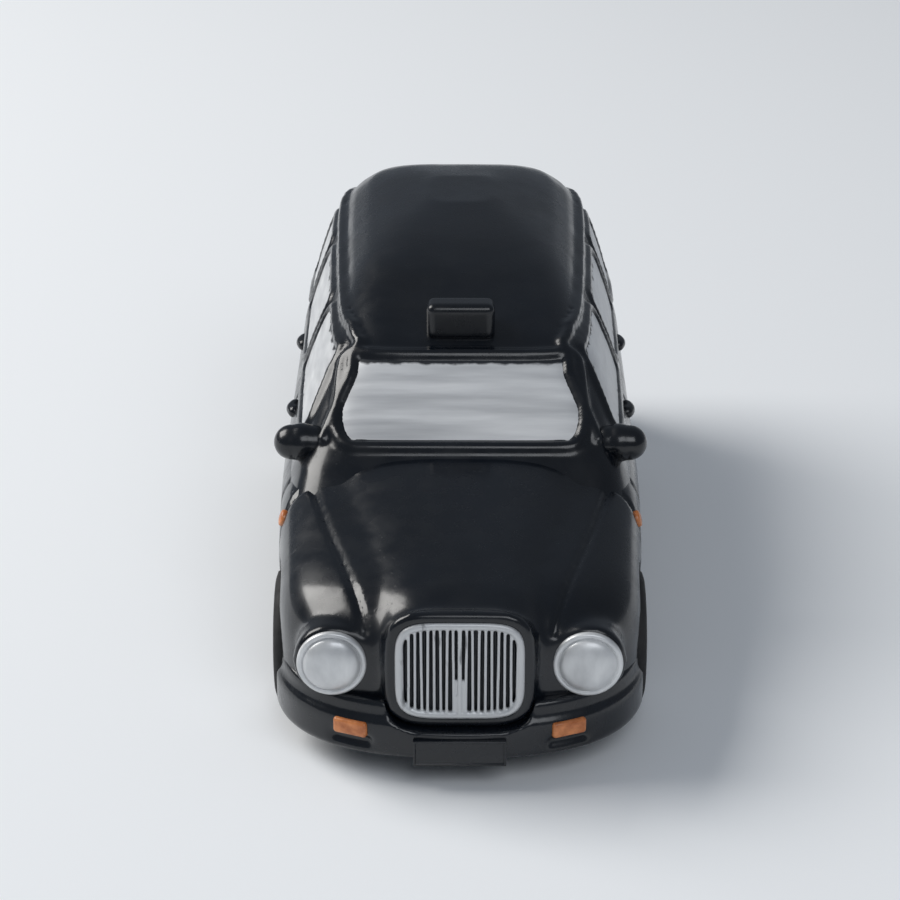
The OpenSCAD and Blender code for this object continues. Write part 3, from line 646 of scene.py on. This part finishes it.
bump(grille_silver, grain_of(grille_silver, 900, 3), 0.3, 0.00015)
finished(grille, "grille_slats", "cab", grille_silver, "silver_paint", "grille")

# ---------------------------------------------------------------------------------------------
# Headlights: domed lamps in a flat rim, painted silver with a round stroke of the brush and
# glued into the pods at the front of the wings.
# ---------------------------------------------------------------------------------------------


def turned(bm, profile, centre, axis, steps=72):
    """Spins a profile of (radius, height along the axis) round the axis, and closes it."""
    axis = Vector(axis).normalized()
    out = axis.orthogonal().normalized()
    verts = [bm.verts.new(Vector(centre) + out * radius + axis * height) for radius, height in profile]
    edges = [bm.edges.new(pair) for pair in zip(verts, verts[1:])]
    bmesh.ops.spin(bm, geom=verts + edges, cent=centre, axis=axis, angle=2 * math.pi, steps=steps,
                   use_merge=True)
    bmesh.ops.remove_doubles(bm, verts=bm.verts, dist=0.0005)
    bmesh.ops.recalc_face_normals(bm, faces=bm.faces)


lamp_out = lamp_high.y - lamp_low.y
lens_r = lamp_r - 0.85
lamp_profile = [(0, 0), (lamp_r - 0.05, 0), (lamp_r, 0.9), (lamp_r - 0.12, 1.28), (lamp_r - 0.45, 1.4)]
lamp_profile += [(lens_r + 0.12, 1.32), (lens_r, 1.12)]
lamp_profile += [
    (lens_r * math.cos(turn), 1.12 + (lamp_out - 1.14) * math.sin(turn))
    for turn in np.linspace(0.12, math.pi / 2, 14)
]

lamp_silver = recipe("lamp_silver", Coat_Weight=0.25, Coat_Roughness=0.2)
smear = grain_of(lamp_silver, 300, 4, (1, 1, 0.5))
feed(lamp_silver, Base_Color=blended(lamp_silver, spread(lamp_silver, smear, 0.3, 0.7),
                                     (0.50, 0.51, 0.52, 1), (0.74, 0.75, 0.755, 1)))
lamp_silver.node_tree.nodes["Principled BSDF"].inputs["Metallic"].default_value = 0.35
feed(lamp_silver, Roughness=spread(lamp_silver, smear, 0.3, 0.7, 0.3, 0.44))
bump(lamp_silver, grain_of(lamp_silver, 620, 3), 0.16, 0.0002)
for side, word in ((-1, "right"), (1, "left")):
    lamp = bmesh.new()
    turned(lamp, lamp_profile, (side * lamp_middle.x, lamp_high.y, lamp_middle.z), (0, -1, 0))
    finished(lamp, f"headlight_{word}_lens", "cab", lamp_silver, "silver_paint", f"headlight_{word}")

# ---------------------------------------------------------------------------------------------
# Bumpers: soft cast bands in two steps that wrap the ends, the front one cut away for the
# grille's surround and hollowed under each indicator. The number plates are blank.
# ---------------------------------------------------------------------------------------------

# Half width and corner length of the band at each end
BANDS = {-1: (half_w - 0.9, 23), 1: (half_w, 14)}
band_power = 2.5


def band_point(turn, end):
    """Place and outward direction on the bumper's outside, at a share of the way across."""
    angle = math.pi * turn
    across, along = math.cos(angle), math.sin(angle)
    reach = (abs(across) ** band_power + along**band_power) ** (1 / band_power)
    across, along = across / reach, along / reach
    band_half_w, band_l = BANDS[end]
    outward = Vector((
        math.copysign(abs(across) ** (band_power - 1), across) / band_half_w,
        end * along ** (band_power - 1) / band_l, 0,
    )).normalized()
    return Vector((across * band_half_w, end * (bumper_end_y - band_l + band_l * along), 0)), outward


bumper_ends = {-1: "front", 1: "rear"}
for end, word in bumper_ends.items():
    bar_low, bar_high = box_mm(f"{word}_bumper")
    bumper_end_y = abs(bar_low.y if end < 0 else bar_high.y)
    wrap = abs(bar_high.y - bar_low.y)
    step_z = bar_low.z + 0.68 * (bar_high.z - bar_low.z)
    section = [
        (-0.35, bar_low.z), (0, bar_low.z + 0.5), (0, step_z - 0.3), (-0.3, step_z),
        (-0.8, step_z + 0.25), (-0.85, bar_high.z - 0.5), (-1.2, bar_high.z),
        (-3.4, bar_high.z), (-3.4, bar_low.z), (-0.35, bar_low.z),
    ]
    heights = np.cumsum([0] + [math.dist(a, b) for a, b in zip(section, section[1:])])
    start_turn = math.atan2(max(0, 1 - wrap / BANDS[end][1]), 1) / math.pi

    def band_skin(u, v, end=end, section=section, heights=heights, start_turn=start_turn):
        place, outward = band_point(start_turn + (1 - 2 * start_turn) * v, end)
        offset = float(np.interp(u * heights[-1], heights, [point[0] for point in section]))
        z = float(np.interp(u * heights[-1], heights, [point[1] for point in section]))
        return place + outward * offset + Vector((0, 0, z))

    band = bmesh.new()
    skinned(band, 110, 200, band_skin)
    band = cast(band, 0.33, 5)
    if end < 0:
        room = bmesh.new()
        skinned(room, 80, 3, lambda u, v: grille_edge(u, 1.5) + Vector((0, nose_y + 6 - 14 * v, 0)))
        band = cast(cut_away(band, room), 0.33, 2)
        lamp_lower, lamp_upper = box_mm("indicator_left")
        hollow_x = (lamp_lower.x + lamp_upper.x) / 2
        hollow = [Vector((side * (hollow_x + dx), -3 * tail_y, bar_low.z + 2.1))
                  for side in (-1, 1) for dx in np.linspace(-2.2, 2.2, 18)]
        engrave(band, touch(BVHTree.FromBMesh(band), hollow, Vector((0, 1, 0))), 1.9, 0.75)
    finished(band, f"{word}_bumper_band", "cab", black_paint, "black_paint", f"{word}_bumper")

    plate_lo, plate_hi = box_mm(f"{word}_number_plate")
    plate = bmesh.new()
    bmesh.ops.create_cube(plate, size=1)
    bmesh.ops.scale(plate, vec=plate_hi - plate_lo, verts=plate.verts)
    bmesh.ops.translate(plate, vec=(plate_hi + plate_lo) / 2, verts=plate.verts)
    face = [f for f in plate.faces if f.normal.y * end > 0.9]
    bmesh.ops.inset_region(plate, faces=face, thickness=0.42, depth=0)
    bmesh.ops.inset_region(plate, faces=face, thickness=0.12, depth=-0.22)
    bmesh.ops.bevel(plate, geom=plate.edges[:], offset=0.1, offset_type="OFFSET", segments=3, profile=0.5,
                    affect="EDGES", material=-1, clamp_overlap=True)
    finished(plate, f"{word}_plate_blank", "cab", black_paint, "black_paint", f"{word}_number_plate")

# ---------------------------------------------------------------------------------------------
# Indicators, side repeaters and tail lamps: small raised blocks and buttons cast with the
# body and picked out in amber and red.
# ---------------------------------------------------------------------------------------------


def lamp_paint(name, dark, light):
    """Thick coloured enamel put on with a small brush."""
    finish = recipe(name, Coat_Weight=0.35, Coat_Roughness=0.15)
    brushing = spread(finish, grain_of(finish, 700, 3), 0.35, 0.65)
    feed(finish, Base_Color=blended(finish, brushing, dark, light))
    feed(finish, Roughness=spread(finish, grain_of(finish, 900, 2), 0.3, 0.7, 0.3, 0.46))
    bump(finish, grain_of(finish, 800, 2), 0.25, 0.0002)
    return finish


amber_paint = lamp_paint("amber_paint", (0.40, 0.11, 0.022, 1), (0.66, 0.235, 0.075, 1))
red_paint = lamp_paint("red_paint", (0.20, 0.010, 0.008, 1), (0.36, 0.025, 0.018, 1))


def block(bm, size, round_by):
    """A block about the origin with well rounded edges."""
    bmesh.ops.create_cube(bm, size=1)
    bmesh.ops.scale(bm, vec=size, verts=bm.verts)
    bmesh.ops.bevel(bm, geom=bm.edges[:], offset=round_by, offset_type="OFFSET", segments=5, profile=0.5,
                    affect="EDGES", material=-1, clamp_overlap=True)


bar_low, bar_high = box_mm("front_bumper")
bumper_end_y = abs(bar_low.y)
tail_turn = 13.2
tail_lamp_size = (4, 2.2, 8)
indicator_w, indicator_t = 5.2, 1.8
for side, word in ((-1, "right"), (1, "left")):
    low, high = box_mm(f"indicator_{word}")
    shares = [i / 400 for i in range(401)]
    share = min(shares, key=lambda s: abs(band_point(s, -1)[0].x - (low.x + high.x) / 2))
    place, outward = band_point(share, -1)
    indicator = bmesh.new()
    block(indicator, (indicator_w, indicator_t, high.z - low.z), 0.5)
    bmesh.ops.rotate(indicator, cent=(0, 0, 0), verts=indicator.verts,
                     matrix=Matrix.Rotation(math.atan2(outward.x, -outward.y), 3, "Z"))
    bmesh.ops.translate(indicator, vec=place - outward * 0.45 + Vector((0, 0, (low.z + high.z) / 2)),
                        verts=indicator.verts)
    finished(indicator, f"indicator_{word}_block", "cab", amber_paint, "amber_paint", f"indicator_{word}")

    low, high = box_mm(f"side_repeater_{word}")
    middle = (low + high) / 2
    hit = body_tree.ray_cast(Vector((side * 3 * half_w, middle.y, middle.z)), Vector((-side, 0, 0)))
    repeater = bmesh.new()
    button = [(0, -1), (1.3, -1), (1.3, 0.1), (1.2, 0.3), (1.0, 0.4), (0.6, 0.5), (0.3, 0.54), (0, 0.55)]
    turned(repeater, button, hit[0], hit[1], 40)
    finished(repeater, f"side_repeater_{word}_button", "cab", amber_paint, "amber_paint",
             f"side_repeater_{word}")

    low, high = box_mm(f"tail_light_{word}")
    tail_lamp = bmesh.new()
    block(tail_lamp, tail_lamp_size, 0.65)
    bmesh.ops.rotate(tail_lamp, cent=(0, 0, 0), verts=tail_lamp.verts,
                     matrix=Matrix.Rotation(math.radians(-side * tail_turn), 3, "Z"))
    bmesh.ops.translate(tail_lamp, vec=(low + high) / 2, verts=tail_lamp.verts)
    finished(tail_lamp, f"tail_light_{word}_block", "cab", red_paint, "red_paint", f"tail_light_{word}")

# ---------------------------------------------------------------------------------------------
# Mirrors and door handles: egg-shaped mirrors on short arms, and rounded bars half let into the
# doors, all in the body's black.
# ---------------------------------------------------------------------------------------------

for side, word in ((-1, "right"), (1, "left")):
    low, high = box_mm(f"mirror_{word}")
    outer_x = high.x if side > 0 else low.x
    mirror_r = (high.z - low.z) / 2
    middle = Vector((outer_x - side * (mirror_r - 0.25), (low.y + high.y) / 2, (low.z + high.z) / 2))
    mirror = bmesh.new()
    balls = ((0.0, mirror_r - 0.25), (1.6, mirror_r), (3.4, mirror_r - 0.3), (5.0, mirror_r - 1.0))
    for inward, radius in balls:
        bmesh.ops.create_uvsphere(mirror, u_segments=40, v_segments=24, radius=radius,
                                  matrix=Matrix.Translation(middle - Vector((side * inward, 0, 0))))
    arm_end = laid_on_side([middle], side)[0]
    bar(mirror, [middle, arm_end - Vector((side * 0.6, 0, 0))], 1.0)
    finished(cast(mirror, 0.26, 5), f"mirror_{word}_egg", "cab", black_paint, "black_paint", f"mirror_{word}")

    for door in ("front", "rear"):
        low, high = box_mm(f"{door}_door_handle_{word}")
        middle = (low + high) / 2
        hit = body_tree.ray_cast(Vector((side * 3 * half_w, middle.y, middle.z)), Vector((-side, 0, 0)))[0]
        handle = bmesh.new()
        grip = [
            hit + Vector((side * (0.5 * math.cos(share * 1.3) - 0.25), share * 1.3, 0))
            for share in np.linspace(-1, 1, 22)
        ]
        bar(handle, grip, 1.08)
        finished(cast(handle, 0.2, 4), f"{door}_handle_{word}_bar", "cab", black_paint, "black_paint",
                 f"{door}_door_handle_{word}")

# ---------------------------------------------------------------------------------------------
# Roof sign: a plain rounded box let into the front of the roof and painted with the body. Its
# face is blank.
# ---------------------------------------------------------------------------------------------

sign_low, sign_high = box_mm("roof_sign")
sign = bmesh.new()
block(sign, sign_high - sign_low, 1.15)
bmesh.ops.translate(sign, vec=(sign_low + sign_high) / 2, verts=sign.verts)
finished(cast(sign, 0.2, 4), "roof_sign_box", "cab", black_paint, "black_paint", "roof_sign")

# ---------------------------------------------------------------------------------------------
# Base plate and its two screws: a dull black plate that closes the shell from below and carries
# the axles, held by cross-headed steel screws sunk in it.
# ---------------------------------------------------------------------------------------------

base_black = recipe("base_black", Metallic=0.0)
cloud = grain_of(base_black, 120, 4)
feed(base_black, Base_Color=blended(base_black, cloud, (0.010, 0.011, 0.012, 1), (0.024, 0.025, 0.027, 1)))
feed(base_black, Roughness=spread(base_black, grain_of(base_black, 500, 3), 0.3, 0.7, 0.45, 0.62))
bump(base_black, grain_of(base_black, 1500, 3), 0.25, 0.0002)

steel = recipe("steel", Metallic=1.0)
turning = grain_of(steel, 900, 3, (1, 0.2, 0.2))
feed(steel, Base_Color=blended(steel, turning, (0.34, 0.34, 0.35, 1), (0.56, 0.56, 0.57, 1)))
feed(steel, Roughness=spread(steel, turning, 0.3, 0.7, 0.26, 0.44))
bump(steel, turning, 0.15, 0.0001)


def refinish(node, finish):
    """Gives a CAD node that stays its real finish."""
    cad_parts[node].data.materials.clear()
    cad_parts[node].data.materials.append(finish)


refinish("base_plate", base_black)
for end in ("front", "rear"):
    low, high = box_mm(f"{end}_base_screw")
    middle = (low + high) / 2
    head_r = (high.x - low.x) / 2
    screw = bmesh.new()
    shank_and_head = [(0, 8), (0.9, 7.5), (0.95, 1), (head_r, 0.95), (head_r, 0.35), (head_r - 0.5, 0.05),
                      (0, 0)]
    turned(screw, shank_and_head, (middle.x, middle.y, low.z), (0, 0, 1), 48)
    cross = bmesh.new()
    for size in ((2.6, 0.5, 1.0), (0.5, 2.6, 1.0)):
        arm = bmesh.ops.create_cube(cross, size=1)["verts"]
        bmesh.ops.scale(cross, vec=size, verts=arm)
        bmesh.ops.translate(cross, vec=(middle.x, middle.y, low.z), verts=arm)
    screw = cut_away(cast(screw, 0.1, 1), cast(cross, 0.08, 0))
    finished(screw, f"{end}_screw_cross", "cab", steel, "steel", f"{end}_base_screw")

# ---------------------------------------------------------------------------------------------
# Wheels and tyres: dished silver wheels with a hub cap and six vents, pushed onto the steel
# axles, in black rubber tyres with two grooves round the tread.
# ---------------------------------------------------------------------------------------------

wheel_silver = recipe("wheel_silver", Metallic=0.55, Coat_Weight=0.15, Coat_Roughness=0.3)
cloud = grain_of(wheel_silver, 380, 4)
feed(wheel_silver, Base_Color=blended(wheel_silver, spread(wheel_silver, cloud, 0.3, 0.7),
                                      (0.33, 0.34, 0.35, 1), (0.58, 0.59, 0.60, 1)))
feed(wheel_silver, Roughness=spread(wheel_silver, cloud, 0.3, 0.7, 0.3, 0.46))
bump(wheel_silver, grain_of(wheel_silver, 800, 3), 0.2, 0.0002)

rubber = recipe("tyre_rubber", Specular_IOR_Level=0.4)
cloud = grain_of(rubber, 260, 4)
feed(rubber, Base_Color=blended(rubber, cloud, (0.009, 0.009, 0.010, 1), (0.026, 0.026, 0.027, 1)))
feed(rubber, Roughness=spread(rubber, grain_of(rubber, 700, 3), 0.3, 0.7, 0.6, 0.8))
bump(rubber, grain_of(rubber, 1400, 3), 0.3, 0.0002)

vents_r = 4.1
for end in ("front", "rear"):
    refinish(f"{end}_axle", steel)
    for side, word in ((-1, "right"), (1, "left")):
        low, high = box_mm(f"{end}_tyre_{word}")
        wheel_low, wheel_high = box_mm(f"{end}_wheel_{word}")
        inner_x = low.x if side > 0 else high.x
        width = high.x - low.x
        r = (high.z - low.z) / 2
        rim_r = (wheel_high.z - wheel_low.z) / 2
        centre = (inner_x, (low.y + high.y) / 2, axle_z)
        tyre = bmesh.new()
        tread = [(rim_r, 0.5), (rim_r + 0.5, 0.15), (r - 1.3, 0), (r - 0.5, 0.25), (r - 0.1, 0.8), (r, 1.4)]
        for groove in (0.36, 0.64):
            x = groove * width
            tread += [(r, x - 0.35), (r - 0.35, x - 0.2), (r - 0.35, x + 0.2), (r, x + 0.35)]
        tread += [(r, width - 1.4), (r - 0.1, width - 0.8), (r - 0.5, width - 0.25), (r - 1.3, width),
                  (rim_r + 1.1, width - 0.1), (rim_r + 0.9, width - 0.32), (rim_r + 0.4, width - 0.3),
                  (rim_r, width - 0.6), (rim_r, 0.5)]
        turned(tyre, tread, centre, (side, 0, 0), 112)
        finished(tyre, f"{end}_tyre_{word}_rubber", f"{end}_wheelset", rubber, "tyre_rubber",
                 f"{end}_tyre_{word}")

        face = wheel_high.x - wheel_low.x
        wheel = bmesh.new()
        dish = [(1.2, 0.2), (rim_r - 0.02, 0.2), (rim_r - 0.02, face - 0.2), (rim_r - 0.25, face),
                (rim_r - 0.75, face - 0.02), (rim_r - 1.1, face - 0.35), (rim_r - 1.6, face - 1.3),
                (3.2, face - 1.25), (2.7, face - 1.05), (2.35, face - 0.5), (1.9, face - 0.25),
                (1.2, face - 0.2), (1.2, 0.2)]
        turned(wheel, dish, centre, (side, 0, 0), 96)
        vents = bmesh.new()
        for turn in range(6):
            angle = math.radians(60 * turn)
            place = Vector((inner_x + side * (face - 0.9), centre[1] + vents_r * math.cos(angle),
                            axle_z + vents_r * math.sin(angle)))
            bmesh.ops.create_cone(
                vents, cap_ends=True, segments=24, radius1=0.5, radius2=0.5, depth=2.4,
                matrix=Matrix.Translation(place) @ Matrix.Rotation(math.radians(90), 4, "Y"),
            )
        finished(cut_away(wheel, vents), f"{end}_wheel_{word}_disc", f"{end}_wheelset", wheel_silver,
                 "wheel_silver", f"{end}_wheel_{word}")

# ---------------------------------------------------------------------------------------------
# Room: a plain pale floor under soft daylight from the left and behind, and a camera that looks
# down on the front of the cab.
# ---------------------------------------------------------------------------------------------

floor = bmesh.new()
bmesh.ops.create_grid(floor, x_segments=1, y_segments=1, size=4)
floor_mesh = bpy.data.meshes.new("floor")
floor.to_mesh(floor_mesh)
floor.free()
floor_piece = bpy.data.objects.new("floor", floor_mesh)
bpy.context.scene.collection.objects.link(floor_piece)
pale = recipe("pale_floor", Base_Color=(0.90, 0.92, 0.94, 1), Roughness=0.85)
floor_mesh.materials.append(pale)

world = bpy.data.worlds.new("daylight")
bpy.context.scene.world = world
world.use_nodes = True
world.node_tree.nodes["Background"].inputs["Color"].default_value = (0.78, 0.87, 1.0, 1)
world.node_tree.nodes["Background"].inputs["Strength"].default_value = 0.2


def window_light(name, place, aim, size, power, colour):
    lamp = bpy.data.lights.new(name, "AREA")
    lamp.shape = "RECTANGLE"
    lamp.size, lamp.size_y = size
    lamp.energy = power
    lamp.color = colour
    light = bpy.data.objects.new(name, lamp)
    light.location = place
    light.rotation_euler = (Vector(aim) - Vector(place)).to_track_quat("-Z", "Y").to_euler()
    bpy.context.scene.collection.objects.link(light)


window_light("window", (-0.85, 0.25, 0.8), (0, 0, 0.02), (0.8, 0.7), 12.5, (1.0, 0.98, 0.95))
window_light("room_fill", (0.35, -1.0, 1.0), (0, 0, 0.02), (0.9, 0.7), 5.5, (0.93, 0.96, 1.0))

camera = bpy.data.objects.new("camera", bpy.data.cameras.new("camera"))
camera.location = (0.0003, -0.3978, 0.2025)
camera.rotation_euler = (math.radians(65.53), 0, math.radians(0.29))
camera.data.lens = 107.5
camera.data.sensor_width = 36
bpy.context.scene.collection.objects.link(camera)
bpy.context.scene.camera = camera
bpy.context.scene.view_settings.view_transform = "Standard"
